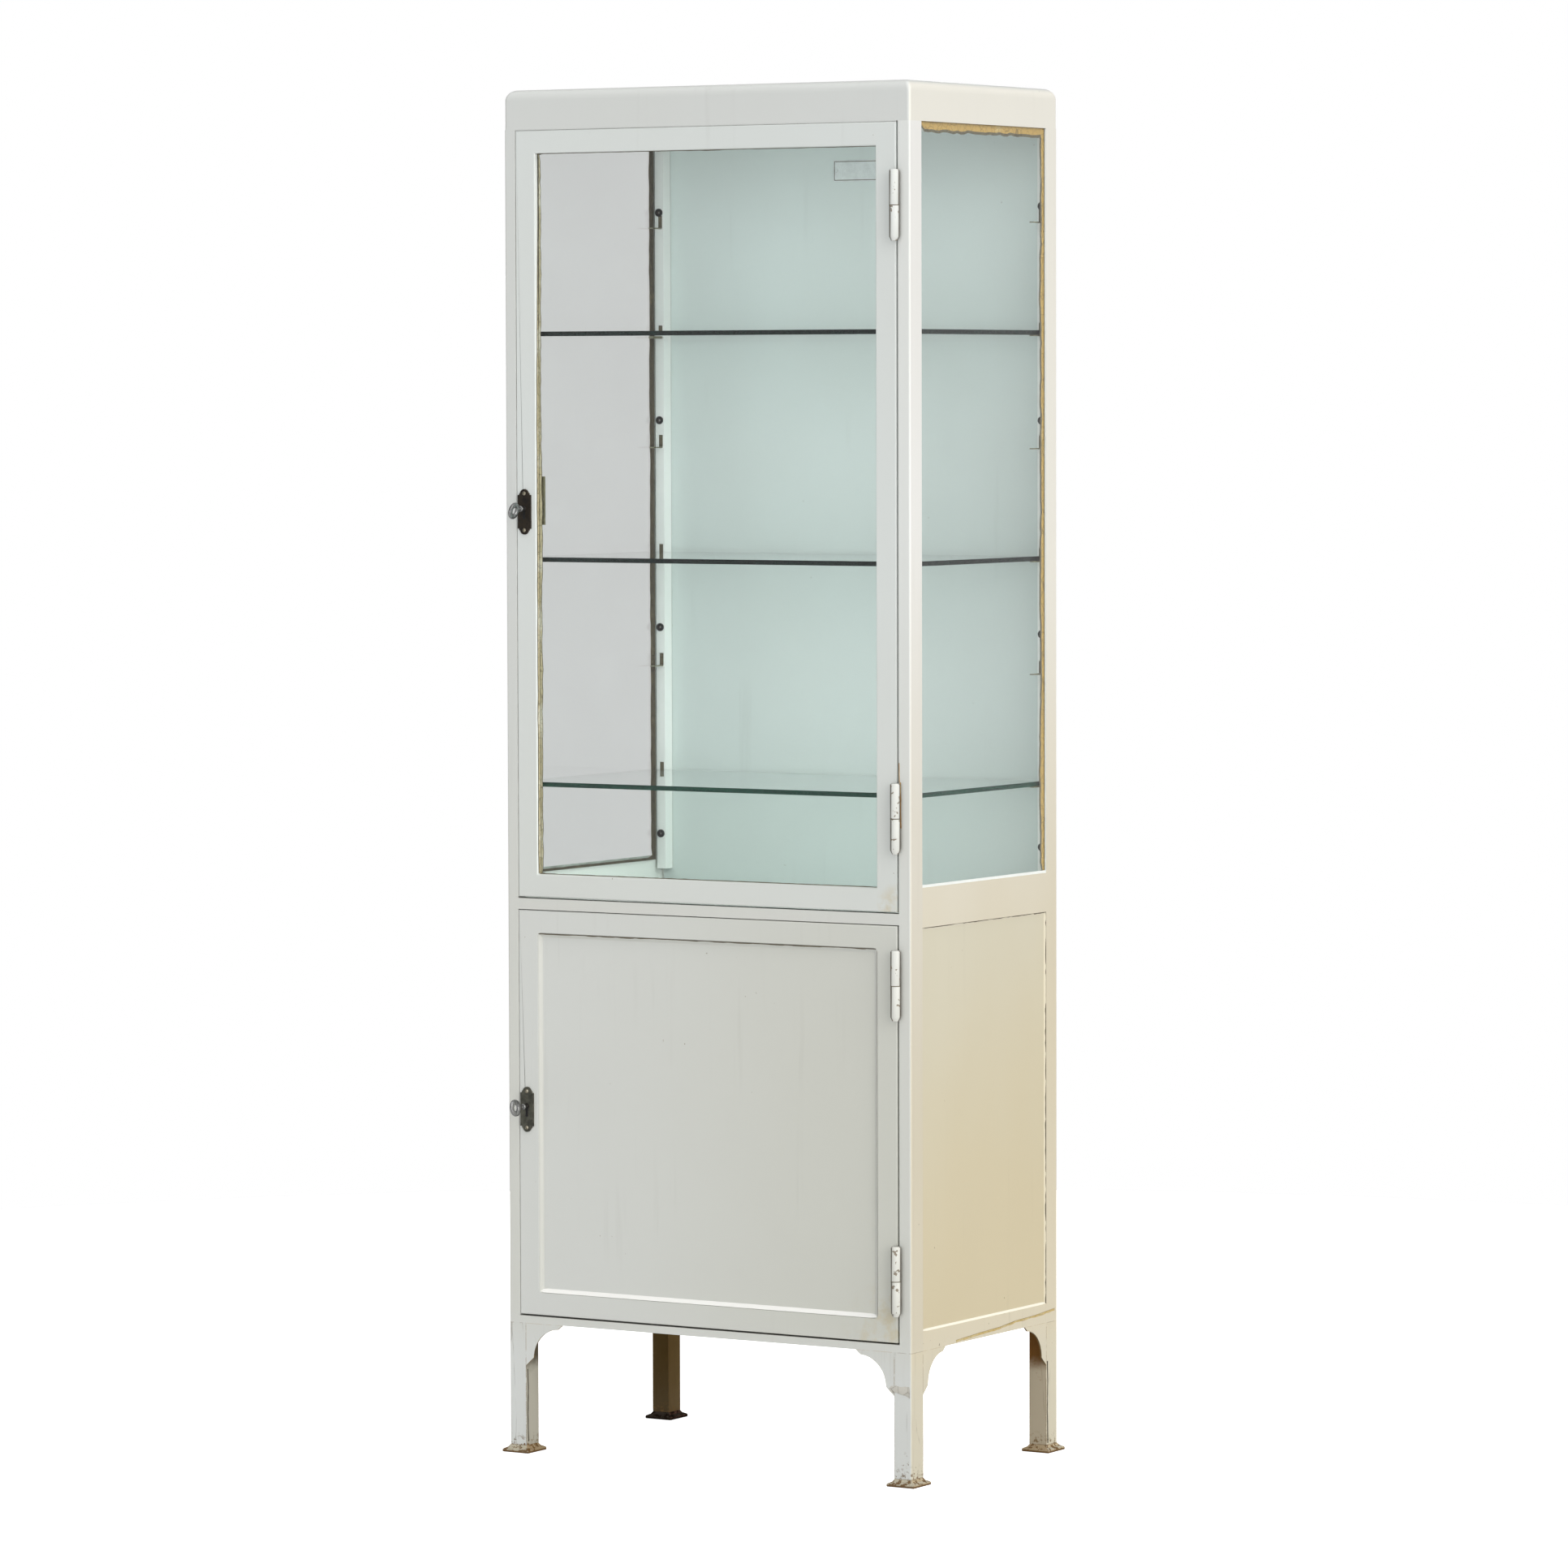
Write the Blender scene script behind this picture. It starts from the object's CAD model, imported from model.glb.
"""Looks of a steel-and-glass clinic cabinet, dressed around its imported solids."""
import logging
import math
from abc import ABC, abstractmethod
from dataclasses import dataclass
from enum import Enum
from functools import cached_property
from typing import Callable, Iterable, Optional, Sequence, Union

import bmesh
import bpy
from mathutils import Matrix, Vector, noise


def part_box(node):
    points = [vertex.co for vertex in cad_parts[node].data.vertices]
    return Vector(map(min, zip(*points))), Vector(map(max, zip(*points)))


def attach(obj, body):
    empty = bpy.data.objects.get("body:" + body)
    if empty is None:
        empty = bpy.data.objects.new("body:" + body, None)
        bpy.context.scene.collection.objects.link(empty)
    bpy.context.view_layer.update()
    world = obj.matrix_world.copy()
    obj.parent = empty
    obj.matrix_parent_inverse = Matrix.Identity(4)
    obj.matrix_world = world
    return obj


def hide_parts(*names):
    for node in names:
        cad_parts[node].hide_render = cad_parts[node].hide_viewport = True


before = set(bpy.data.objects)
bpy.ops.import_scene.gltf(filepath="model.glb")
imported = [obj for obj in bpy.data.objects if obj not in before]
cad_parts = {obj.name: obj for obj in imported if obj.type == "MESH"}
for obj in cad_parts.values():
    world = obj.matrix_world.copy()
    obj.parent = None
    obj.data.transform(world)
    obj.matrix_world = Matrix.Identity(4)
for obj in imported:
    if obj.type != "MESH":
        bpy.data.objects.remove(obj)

LOG = logging.getLogger("clinic_cabinet")
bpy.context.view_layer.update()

Socket = bpy.types.NodeSocket
Node = bpy.types.Node
Tree = bpy.types.NodeTree
Material = bpy.types.Material
Mesh = bmesh.types.BMesh
Colour = tuple[float, float, float]
Feed = Union[Socket, float, Colour, Sequence[float]]
MM = 0.001
CRISP = 40.0
WELD = 0.01 * MM
RIGHT, BACK, UP = (Vector(axis) for axis in ((1.0, 0.0, 0.0), (0.0, 1.0, 0.0), (0.0, 0.0, 1.0)))


class Effect(Enum):
    """Shared surface effects, each a node group."""

    EDGE_WEAR = "edge_wear"
    CREVICE_GRIME = "crevice_grime"
    PAINT_SKIN = "paint_skin"
    STREAKS = "streaks"
    CHIPS = "chips"
    AGEING = "ageing"
    INWARD = "inward"
    CORNER_STAIN = "corner_stain"
    CRACKS = "cracks"


class Body(Enum):
    """Moving bodies that carry pieces made here."""

    CARCASS = "carcass"
    UPPER_DOOR = "upper_door"
    LOWER_DOOR = "lower_door"
    UPPER_KEY = "upper_key"
    LOWER_KEY = "lower_key"
    TOP_SHELF = "top_shelf"
    MIDDLE_SHELF = "middle_shelf"
    BOTTOM_SHELF = "bottom_shelf"


class Graph:
    """A node tree with short calls for the nodes that the finishes use."""

    def __init__(self, tree: Tree) -> None:
        """Keep the tree.

        Args:
            tree: the tree that takes the nodes.
        """
        self.tree = tree

    def add(self, kind: str, **settings: object) -> Node:
        """Add a shader node.

        Args:
            kind: the node's type without its common prefix.
            settings: properties to set on the node.

        Returns:
            The new node.
        """
        node = self.tree.nodes.new("ShaderNode" + kind)
        for name, value in settings.items():
            setattr(node, name, value)
        return node

    def feed(self, socket: Socket, value: Feed) -> None:
        """Link a socket to another or give it a constant.

        Args:
            socket: the input that takes the value.
            value: an output socket, a number or a colour.
        """
        if isinstance(value, Socket):
            self.tree.links.new(value, socket)
            return
        if socket.type == "RGBA" and len(value) == 3:
            value = (*value, 1.0)
        socket.default_value = value

    def give(self, node: Node, inputs: dict[Union[str, int], Feed]) -> Node:
        """Feed several inputs of a node.

        Args:
            node: the node that takes the values.
            inputs: the values, by the input's name or number.

        Returns:
            The same node.
        """
        for name, value in inputs.items():
            self.feed(node.inputs[name], value)
        return node

    def math(self, operation: str, first: Feed, second: Feed = 0.0, clamp: bool = False) -> Socket:
        """Return one number worked out from two, kept between 0 and 1 if it is clamped."""
        node = self.add("Math", operation=operation, use_clamp=clamp)
        return self.give(node, {0: first, 1: second}).outputs[0]

    def times(self, first: Feed, second: Feed) -> Socket:
        """Return the product of two numbers."""
        return self.math("MULTIPLY", first, second)

    def mix(self, share: Feed, first: Feed, second: Feed) -> Socket:
        """Return a blend of two colours, by the second one's share."""
        node = self.add("Mix", data_type="RGBA", clamp_factor=True)
        return self.give(node, {0: share, 6: first, 7: second}).outputs[2]

    def over(self, coat: Feed, colour: Feed, mask: Socket, share: Feed) -> Socket:
        """Return a coat with a colour laid over it, where the mask says and as strongly as the share."""
        return self.mix(self.times(mask, share), coat, colour)

    def either(self, share: Socket, first: Socket, second: Socket) -> Socket:
        """Return a blend of two shaders, by the second one's share."""
        return self.give(self.add("MixShader"), {0: share, 1: first, 2: second}).outputs[0]

    def remap(self, value: Feed, low: Feed, high: Feed, start: Feed = 0.0, end: Feed = 1.0) -> Socket:
        """Return a value carried smoothly from the range low to high to the range start to end."""
        node = self.add("MapRange", interpolation_type="SMOOTHSTEP")
        return self.give(node, dict(enumerate((value, low, high, start, end)))).outputs[0]

    def place(self) -> Socket:
        """Return the point on the surface in the cabinet's own frame."""
        return self.add("TexCoord").outputs["Object"]

    def facing(self) -> tuple[Socket, Socket, Socket]:
        """Return the surface's own normal along x, y and z."""
        return self.split(self.add("TexCoord").outputs["Normal"])

    def split(self, vector: Socket) -> tuple[Socket, Socket, Socket]:
        """Return a vector's x, y and z."""
        return tuple(self.give(self.add("SeparateXYZ"), {0: vector}).outputs)

    def vector(self, operation: str, first: Socket, second: Feed) -> Node:
        """Return the node that works on two vectors."""
        return self.give(self.add("VectorMath", operation=operation), {0: first, 1: second})

    def stretched(self, vector: Socket, factors: Sequence[float]) -> Socket:
        """Return a vector scaled by a factor along each axis."""
        return self.vector("MULTIPLY", vector, factors).outputs[0]

    def noise(self, vector: Socket, scale: Feed, detail: float = 3.0, rough: float = 0.55) -> Socket:
        """Return a noise value, by how fine it is, its octaves and how strong the finer ones are."""
        inputs = {"Vector": vector, "Scale": scale, "Detail": detail, "Roughness": rough}
        return self.give(self.add("TexNoise"), inputs).outputs[0]

    def cells(self, vector: Socket, scale: float) -> Socket:
        """Return the distance to the nearest border in a pattern of cells."""
        node = self.add("TexVoronoi", feature="DISTANCE_TO_EDGE")
        return self.give(node, {"Vector": vector, "Scale": scale}).outputs["Distance"]

    def bump(self, height: Socket, depth: float, strength: float = 1.0) -> Socket:
        """Return a normal from a height, by the depth of a full step in metres and a strength."""
        inputs = {"Strength": strength, "Distance": depth, "Height": height}
        return self.give(self.add("Bump"), inputs).outputs[0]


class Effects:
    """Builds each shared effect once and places it in materials."""

    def __init__(self) -> None:
        """Start with no groups."""
        self.trees: dict[Effect, Tree] = {}

    def use(self, graph: Graph, effect: Effect, **inputs: Feed) -> Node:
        """Place an effect in a material.

        Args:
            graph: the material's graph.
            effect: the effect to place.
            inputs: values for the group's inputs, by name.

        Returns:
            The group node.
        """
        if effect not in self.trees:
            self.trees[effect] = getattr(self, "make_" + effect.value)()
        return graph.give(graph.add("Group", node_tree=self.trees[effect]), inputs)

    def start(self, effect: Effect, inputs: dict[str, float],
              outputs: Iterable[str] = ("Mask",)) -> tuple[Graph, dict[str, Socket], dict[str, Socket]]:
        """Make an empty group with its sockets.

        Args:
            effect: the effect that the group is for.
            inputs: input names with their defaults.
            outputs: names of the values it puts out.

        Returns:
            The group's graph, its input sockets and its output sockets by name.
        """
        tree = bpy.data.node_groups.new(effect.value, "ShaderNodeTree")
        for name, value in inputs.items():
            tree.interface.new_socket(name, in_out="INPUT", socket_type="NodeSocketFloat").default_value = value
        for name in outputs:
            tree.interface.new_socket(name, in_out="OUTPUT", socket_type="NodeSocketFloat")
        graph = Graph(tree)
        entry = tree.nodes.new("NodeGroupInput")
        leave = tree.nodes.new("NodeGroupOutput")
        return graph, {n: entry.outputs[n] for n in inputs}, {n: leave.inputs[n] for n in outputs}

    def make_edge_wear(self) -> Tree:
        """Return a mask of rubbed corners, broken up by noise."""
        graph, given, out = self.start(Effect.EDGE_WEAR, {"Radius": 0.0012, "Scale": 90.0, "Cover": 0.5})
        rounded = graph.add("Bevel", samples=4)
        graph.feed(rounded.inputs["Radius"], given["Radius"])
        dot = graph.vector("DOT_PRODUCT", rounded.outputs[0], graph.add("NewGeometry").outputs["Normal"])
        edge = graph.remap(dot.outputs["Value"], 0.995, 0.86)
        patches = graph.noise(graph.place(), given["Scale"], 4.0, 0.65)
        limit = graph.math("SUBTRACT", 1.0, given["Cover"])
        broken = graph.remap(patches, limit, graph.math("ADD", limit, 0.08))
        graph.feed(out["Mask"], graph.times(edge, broken))
        return graph.tree

    def make_crevice_grime(self) -> Tree:
        """Return a mask of dirt settled in corners and gaps."""
        graph, given, out = self.start(
            Effect.CREVICE_GRIME, {"Distance": 0.008, "Low": 0.35, "High": 0.85, "Scale": 40.0})
        nearby = graph.add("AmbientOcclusion", samples=6)
        graph.feed(nearby.inputs["Distance"], given["Distance"])
        hidden = graph.math("SUBTRACT", 1.0, nearby.outputs["AO"])
        deep = graph.remap(hidden, given["Low"], given["High"])
        patches = graph.noise(graph.place(), given["Scale"], 3.0, 0.6)
        graph.feed(out["Mask"], graph.times(deep, graph.remap(patches, 0.2, 0.7, 0.45, 1.0)))
        return graph.tree

    def make_paint_skin(self) -> Tree:
        """Return the slow tone and the fine relief of brushed enamel."""
        graph, given, out = self.start(Effect.PAINT_SKIN, {"Tone Scale": 4.0}, ["Tone", "Height"])
        point = graph.place()
        slow = graph.noise(point, given["Tone Scale"], 4.0, 0.5)
        graph.feed(out["Tone"], graph.remap(slow, 0.28, 0.72))
        peel = graph.noise(point, 420.0, 2.0, 0.5)
        brush = graph.noise(graph.stretched(point, (260.0, 260.0, 14.0)), 1.0, 3.0, 0.6)
        sheet = graph.noise(point, 7.0, 1.0, 0.4)
        relief = graph.math("ADD", graph.times(peel, 0.25), graph.times(brush, 0.2))
        graph.feed(out["Height"], graph.math("ADD", relief, graph.times(sheet, 2.2)))
        return graph.tree

    def make_streaks(self) -> Tree:
        """Return a mask of marks that ran down the sheet."""
        graph, given, out = self.start(Effect.STREAKS, {"Low": 0.56, "High": 0.74})
        point = graph.place()
        runs = graph.noise(graph.stretched(point, (70.0, 70.0, 2.6)), 1.0, 4.0, 0.6)
        zones = graph.noise(point, 6.0, 2.0, 0.5)
        mask = graph.remap(runs, given["Low"], given["High"])
        graph.feed(out["Mask"], graph.times(mask, graph.remap(zones, 0.4, 0.65)))
        return graph.tree

    def make_chips(self) -> Tree:
        """Return a mask of small spots where the coat has come off."""
        graph, given, out = self.start(Effect.CHIPS, {"Scale": 160.0, "Limit": 0.72, "Zone": 0.55})
        point = graph.place()
        spots = graph.noise(point, given["Scale"], 2.0, 0.5)
        zones = graph.noise(point, 11.0, 2.0, 0.5)
        mask = graph.remap(spots, given["Limit"], graph.math("ADD", given["Limit"], 0.03))
        where = graph.remap(zones, given["Zone"], graph.math("ADD", given["Zone"], 0.08))
        graph.feed(out["Mask"], graph.times(mask, where))
        return graph.tree

    def make_ageing(self) -> Tree:
        """Return how far the coat has yellowed, where it faces sideways and where the legs and feet begin."""
        graph, given, out = self.start(
            Effect.AGEING, {"Top": 1.25, "Bottom": 0.45}, ["Low", "Side", "Foot", "Under"])
        point = graph.place()
        height = graph.split(point)[2]
        wander = graph.noise(graph.stretched(point, (3.0, 3.0, 1.4)), 1.0, 3.0, 0.5)
        shifted = graph.math("ADD", height, graph.times(graph.math("SUBTRACT", wander, 0.5), 0.5))
        graph.feed(out["Low"], graph.remap(shifted, given["Top"], given["Bottom"]))
        sideways = graph.math("ABSOLUTE", graph.facing()[0])
        graph.feed(out["Side"], graph.remap(sideways, 0.35, 0.9))
        graph.feed(out["Foot"], graph.remap(height, 0.2, 0.115))
        ragged = graph.times(graph.noise(point, 60.0, 4.0, 0.6), 0.02)
        graph.feed(out["Under"], graph.remap(graph.math("ADD", height, ragged), 0.112, 0.135))
        return graph.tree

    def make_cracks(self) -> Tree:
        """Return a mask of long upright cracks in brittle enamel."""
        graph, given, out = self.start(Effect.CRACKS, {"Width": 0.03, "Zone": 0.52})
        point = graph.place()
        wander = graph.times(graph.noise(point, 45.0, 3.0, 0.6), 0.14)
        shifted = graph.vector("ADD", graph.stretched(point, (60.0, 60.0, 8.0)), wander)
        lines = graph.remap(graph.cells(shifted.outputs[0], 1.0), given["Width"], 0.0)
        zones = graph.noise(point, 14.0, 2.0, 0.5)
        where = graph.remap(zones, given["Zone"], graph.math("ADD", given["Zone"], 0.1))
        graph.feed(out["Mask"], graph.times(lines, where))
        return graph.tree

    def make_inward(self) -> Tree:
        """Return a mask of the faces that look towards the cabinet's middle."""
        graph, given, out = self.start(Effect.INWARD, {"Middle": 0.0144})
        x, y, _ = graph.split(graph.place())
        across, along, _ = graph.facing()
        depth = graph.times(along, graph.math("SUBTRACT", y, given["Middle"]))
        outward = graph.math("ADD", graph.times(across, x), depth)
        graph.feed(out["Mask"], graph.remap(outward, -0.01, -0.07))
        return graph.tree

    def make_corner_stain(self) -> Tree:
        """Return a mask of the rusty wash in a door's lower corner beside its hinges."""
        graph, given, out = self.start(Effect.CORNER_STAIN, {"Sill": 0.18, "Hinges": 0.28, "Reach": 0.09})
        point = graph.place()
        x, _, z = graph.split(point)
        aside = graph.math("DIVIDE", graph.math("SUBTRACT", given["Hinges"], x), given["Reach"])
        above = graph.math("DIVIDE", graph.math("SUBTRACT", z, given["Sill"]), given["Reach"])
        away = graph.math("ADD", graph.math("POWER", aside, 2.0), graph.math("POWER", above, 2.0))
        blotch = graph.remap(graph.noise(point, 38.0, 5.0, 0.65), 0.42, 0.68)
        graph.feed(out["Mask"], graph.times(graph.remap(away, 1.0, 0.0), blotch))
        return graph.tree


EFFECTS = Effects()


def new_material(name: str) -> tuple[Material, Graph, Node]:
    """Make a material with one Principled shader.

    Args:
        name: the material's name.

    Returns:
        The material, its graph and its shader.
    """
    material = bpy.data.materials.new(name)
    material.use_nodes = True
    shader = material.node_tree.nodes["Principled BSDF"]
    return material, Graph(material.node_tree), shader


@dataclass(frozen=True)
class PaintFinish:
    """Brushed enamel on sheet steel, yellowed on the sides and towards the floor."""

    name: str
    front: Colour = (0.645, 0.66, 0.64)
    front_low: Colour = (0.635, 0.64, 0.595)
    front_far: Optional[Colour] = None
    front_foot: Colour = (0.665, 0.68, 0.66)
    side: Colour = (0.81, 0.79, 0.72)
    side_low: Colour = (0.645, 0.58, 0.435)
    side_foot: Colour = (0.62, 0.575, 0.455)
    inside: Colour = (0.85, 0.875, 0.85)
    inside_low: Colour = (0.85, 0.875, 0.85)
    inside_side: Optional[Colour] = None
    under: Colour = (0.05, 0.032, 0.008)
    ledge: Colour = (0.93, 0.925, 0.89)
    grime: Colour = (0.10, 0.07, 0.035)
    metal: Colour = (0.16, 0.11, 0.06)
    rust: Colour = (0.52, 0.40, 0.17)
    stale: Colour = (0.45, 0.44, 0.38)
    tongue: Colour = (0.13, 0.12, 0.05)
    tongue_line: tuple[float, float] = (0.1784, 0.1776)
    soil_line: tuple[float, float] = (0.0032, 0.0018)
    side_share: float = 1.0
    inside_share: float = 1.0
    under_share: float = 0.0
    tongue_share: float = 0.0
    crack_share: float = 0.0
    soil_share: float = 0.0
    ledge_share: float = 0.0
    rust_rise: float = 0.0
    wear: float = 0.22
    wear_reach: float = 0.0012
    grime_reach: float = 0.004
    grime_share: float = 0.8
    chip_limit: float = 0.76
    chip_zone: float = 0.55
    streak_share: float = 0.05
    stain_sill: float = -1.0
    stain_reach: float = 0.09
    stain_share: float = 0.45
    stale_share: float = 0.08
    bare_share: float = 0.8
    flank_share: float = 0.0
    age_top: float = 1.25
    age_bottom: float = 0.45
    roughness: float = 0.36
    gloss: float = 0.5

    def tone(self, graph: Graph, age: Node) -> Socket:
        """Lay the clean coat, by where the sheet faces and how low it is.

        Args:
            graph: the material's graph.
            age: the ageing group's node.

        Returns:
            The colour's socket.
        """
        low, foot = age.outputs["Low"], age.outputs["Foot"]
        lower = self.front_low
        if self.front_far is not None:
            far = graph.remap(graph.split(graph.place())[0], -0.28, 0.28)
            lower = graph.mix(far, self.front_low, self.front_far)
        front = graph.mix(foot, graph.mix(low, self.front, lower), self.front_foot)
        side = graph.mix(foot, graph.mix(low, self.side, self.side_low), self.side_foot)
        coat = graph.over(front, side, age.outputs["Side"], self.side_share)
        inner = graph.mix(low, self.inside, self.inside_low)
        if self.inside_side is not None:
            inner = graph.mix(age.outputs["Side"], inner, self.inside_side)
        inner = graph.over(inner, self.under, age.outputs["Under"], self.under_share)
        inward = EFFECTS.use(graph, Effect.INWARD)
        return graph.over(coat, inner, inward.outputs["Mask"], self.inside_share)

    def marks(self, graph: Graph, coat: Socket) -> Socket:
        """Lay the marks that only some of the sheets carry.

        Args:
            graph: the material's graph.
            coat: the colour below them.

        Returns:
            The colour's socket.
        """
        point = graph.place()
        _, deep, height = graph.split(point)
        across, along, up = graph.facing()
        if self.stain_sill > 0.0:
            stain = EFFECTS.use(graph, Effect.CORNER_STAIN, Sill=self.stain_sill, Reach=self.stain_reach)
            coat = graph.over(coat, self.rust, stain.outputs["Mask"], self.stain_share)
        if self.flank_share > 0.0:
            flank = graph.math("MAXIMUM", graph.remap(across, -0.22, -0.4), graph.remap(along, -0.16, 0.08))
            coat = graph.over(coat, self.grime, flank, self.flank_share)
        if self.tongue_share > 0.0:
            coat = graph.over(coat, self.tongue, graph.remap(deep, *self.tongue_line), self.tongue_share)
        if self.ledge_share > 0.0:
            coat = graph.over(coat, self.ledge, graph.remap(up, 0.3, 0.45), self.ledge_share)
        if self.soil_share > 0.0:
            blots = graph.remap(graph.noise(point, 150.0, 4.0, 0.7), 0.5, 0.56)
            soil = graph.math("MAXIMUM", graph.remap(height, *self.soil_line), blots)
            coat = graph.over(coat, self.metal, soil, self.soil_share)
        if self.rust_rise > 0.0:
            flecks = graph.remap(graph.noise(point, 170.0, 4.0, 0.7), 0.53, 0.6)
            near = graph.remap(height, self.rust_rise, 0.3 * self.rust_rise)
            coat = graph.over(coat, self.metal, near, flecks)
        if self.crack_share > 0.0:
            cracks = EFFECTS.use(graph, Effect.CRACKS)
            coat = graph.over(coat, self.grime, cracks.outputs["Mask"], self.crack_share)
        return coat

    def make(self) -> Material:
        """Return the finished material."""
        material, graph, shader = new_material(self.name)
        skin = EFFECTS.use(graph, Effect.PAINT_SKIN)
        age = EFFECTS.use(graph, Effect.AGEING, Top=self.age_top, Bottom=self.age_bottom)
        grime = EFFECTS.use(graph, Effect.CREVICE_GRIME, Distance=self.grime_reach).outputs["Mask"]
        wear = EFFECTS.use(graph, Effect.EDGE_WEAR, Radius=self.wear_reach, Cover=self.wear)
        chips = EFFECTS.use(graph, Effect.CHIPS, Limit=self.chip_limit, Zone=self.chip_zone)
        streaks = EFFECTS.use(graph, Effect.STREAKS)
        bare = graph.math("MAXIMUM", wear.outputs["Mask"], chips.outputs["Mask"])
        coat = graph.over(self.tone(graph, age), self.stale, skin.outputs["Tone"], self.stale_share)
        coat = graph.over(coat, self.grime, streaks.outputs["Mask"], self.streak_share)
        coat = graph.over(self.marks(graph, coat), self.grime, grime, self.grime_share)
        rough = graph.remap(skin.outputs["Tone"], 0.0, 1.0, self.roughness - 0.05, self.roughness + 0.07)
        spoiled = graph.times(graph.math("MAXIMUM", bare, grime), 0.35)
        relief = graph.math("SUBTRACT", skin.outputs["Height"], graph.times(bare, 0.6))
        graph.give(shader, {"Base Color": graph.over(coat, self.metal, bare, self.bare_share),
                            "Roughness": graph.math("ADD", rough, spoiled, clamp=True),
                            "Normal": graph.bump(relief, 0.00025, 0.6)})
        shader.inputs["Specular IOR Level"].default_value = self.gloss
        return material


@dataclass(frozen=True)
class GlassFinish:
    """Clear sheet glass with faint dust and smudges."""

    name: str
    tint: Colour = (0.955, 0.985, 0.98)
    smudge: float = 0.05

    def make(self) -> Material:
        """Return the finished material."""
        material, graph, shader = new_material(self.name)
        point = graph.place()
        veil = graph.remap(graph.noise(point, 5.0, 4.0, 0.6), 0.35, 0.75, 0.0, 0.5)
        smudges = graph.remap(graph.noise(point, 9.0, 5.0, 0.65), 0.5, 0.85, 0.0, self.smudge)
        dusty = tuple(0.975 * share for share in self.tint)
        graph.give(shader, {"Base Color": graph.mix(veil, self.tint, dusty), "Roughness": smudges})
        shader.inputs["Transmission Weight"].default_value = 1.0
        shader.inputs["IOR"].default_value = 1.45
        through = graph.give(graph.add("BsdfTransparent"), {"Color": self.tint})
        shadow = graph.add("LightPath").outputs["Is Shadow Ray"]
        surface = graph.either(shadow, shader.outputs[0], through.outputs[0])
        graph.feed(material.node_tree.nodes["Material Output"].inputs["Surface"], surface)
        return material


@dataclass(frozen=True)
class EdgeFinish:
    """Cut edge of thick glass, where the light inside it shows deep green."""

    name: str
    base: Colour
    deep: Colour

    def make(self) -> Material:
        """Return the finished material."""
        material, graph, shader = new_material(self.name)
        point = graph.place()
        bands = graph.remap(graph.noise(graph.stretched(point, (9.0, 9.0, 700.0)), 1.0, 3.0, 0.6), 0.35, 0.65)
        nicks = graph.noise(point, 600.0, 2.0, 0.5)
        graph.give(shader, {"Base Color": graph.mix(bands, self.base, self.deep),
                            "Roughness": graph.remap(nicks, 0.3, 0.8, 0.15, 0.4),
                            "Normal": graph.bump(nicks, 0.0001, 0.3)})
        shader.inputs["Specular IOR Level"].default_value = 0.2
        return material


@dataclass(frozen=True)
class MetalFinish:
    """Bare or blackened metal with scratches, tarnish and rust."""

    name: str
    base: Colour
    dark: Colour
    rust: Colour = (0.16, 0.07, 0.03)
    rust_limit: float = 0.62
    wear_tone: Colour = (0.45, 0.43, 0.4)
    wear: float = 0.5
    metallic: float = 1.0
    roughness: float = 0.35
    grain: Sequence[float] = (500.0, 500.0, 500.0)

    def make(self) -> Material:
        """Return the finished material."""
        material, graph, shader = new_material(self.name)
        point = graph.place()
        tarnish = graph.remap(graph.noise(point, 120.0, 4.0, 0.6), 0.35, 0.7)
        scratch = graph.noise(graph.stretched(point, self.grain), 1.0, 3.0, 0.6)
        grime = EFFECTS.use(graph, Effect.CREVICE_GRIME, Distance=0.004)
        wear = EFFECTS.use(graph, Effect.EDGE_WEAR, Radius=0.0008, Scale=300.0, Cover=self.wear)
        tone = graph.mix(tarnish, self.base, self.dark)
        tone = graph.over(tone, self.wear_tone, wear.outputs["Mask"], 0.8)
        rusty = graph.remap(graph.noise(point, 70.0, 5.0, 0.65), self.rust_limit, self.rust_limit + 0.1)
        dirty = graph.math("MAXIMUM", rusty, graph.times(grime.outputs["Mask"], 0.7))
        rough = graph.remap(scratch, 0.3, 0.7, self.roughness - 0.08, self.roughness + 0.12)
        graph.give(shader, {"Base Color": graph.mix(dirty, tone, self.rust),
                            "Metallic": graph.times(graph.math("SUBTRACT", 1.0, dirty), self.metallic),
                            "Roughness": graph.math("ADD", rough, graph.times(dirty, 0.4), clamp=True),
                            "Normal": graph.bump(scratch, 0.00012, 0.5)})
        return material


@dataclass(frozen=True)
class PuttyFinish:
    """Old linseed putty with pale smears, cracked and gritty."""

    name: str
    base: Colour = (0.50, 0.33, 0.11)
    pale: Colour = (0.66, 0.58, 0.40)
    dark: Colour = (0.06, 0.042, 0.025)
    pale_limit: float = 0.5

    def make(self) -> Material:
        """Return the finished material."""
        material, graph, shader = new_material(self.name)
        point = graph.place()
        smear = graph.remap(graph.noise(point, 28.0, 4.0, 0.6), self.pale_limit, self.pale_limit + 0.18)
        grit = graph.noise(point, 420.0, 4.0, 0.7)
        split = graph.remap(graph.cells(point, 95.0), 0.04, 0.0)
        tone = graph.mix(smear, self.base, self.pale)
        tone = graph.mix(graph.remap(grit, 0.55, 0.8, 0.0, 0.4), tone, self.dark)
        graph.give(shader, {"Base Color": graph.over(tone, self.dark, split, 0.5),
                            "Roughness": graph.remap(grit, 0.2, 0.8, 0.7, 0.95),
                            "Normal": graph.bump(graph.math("SUBTRACT", grit, split), 0.0006, 0.8)})
        return material


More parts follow.
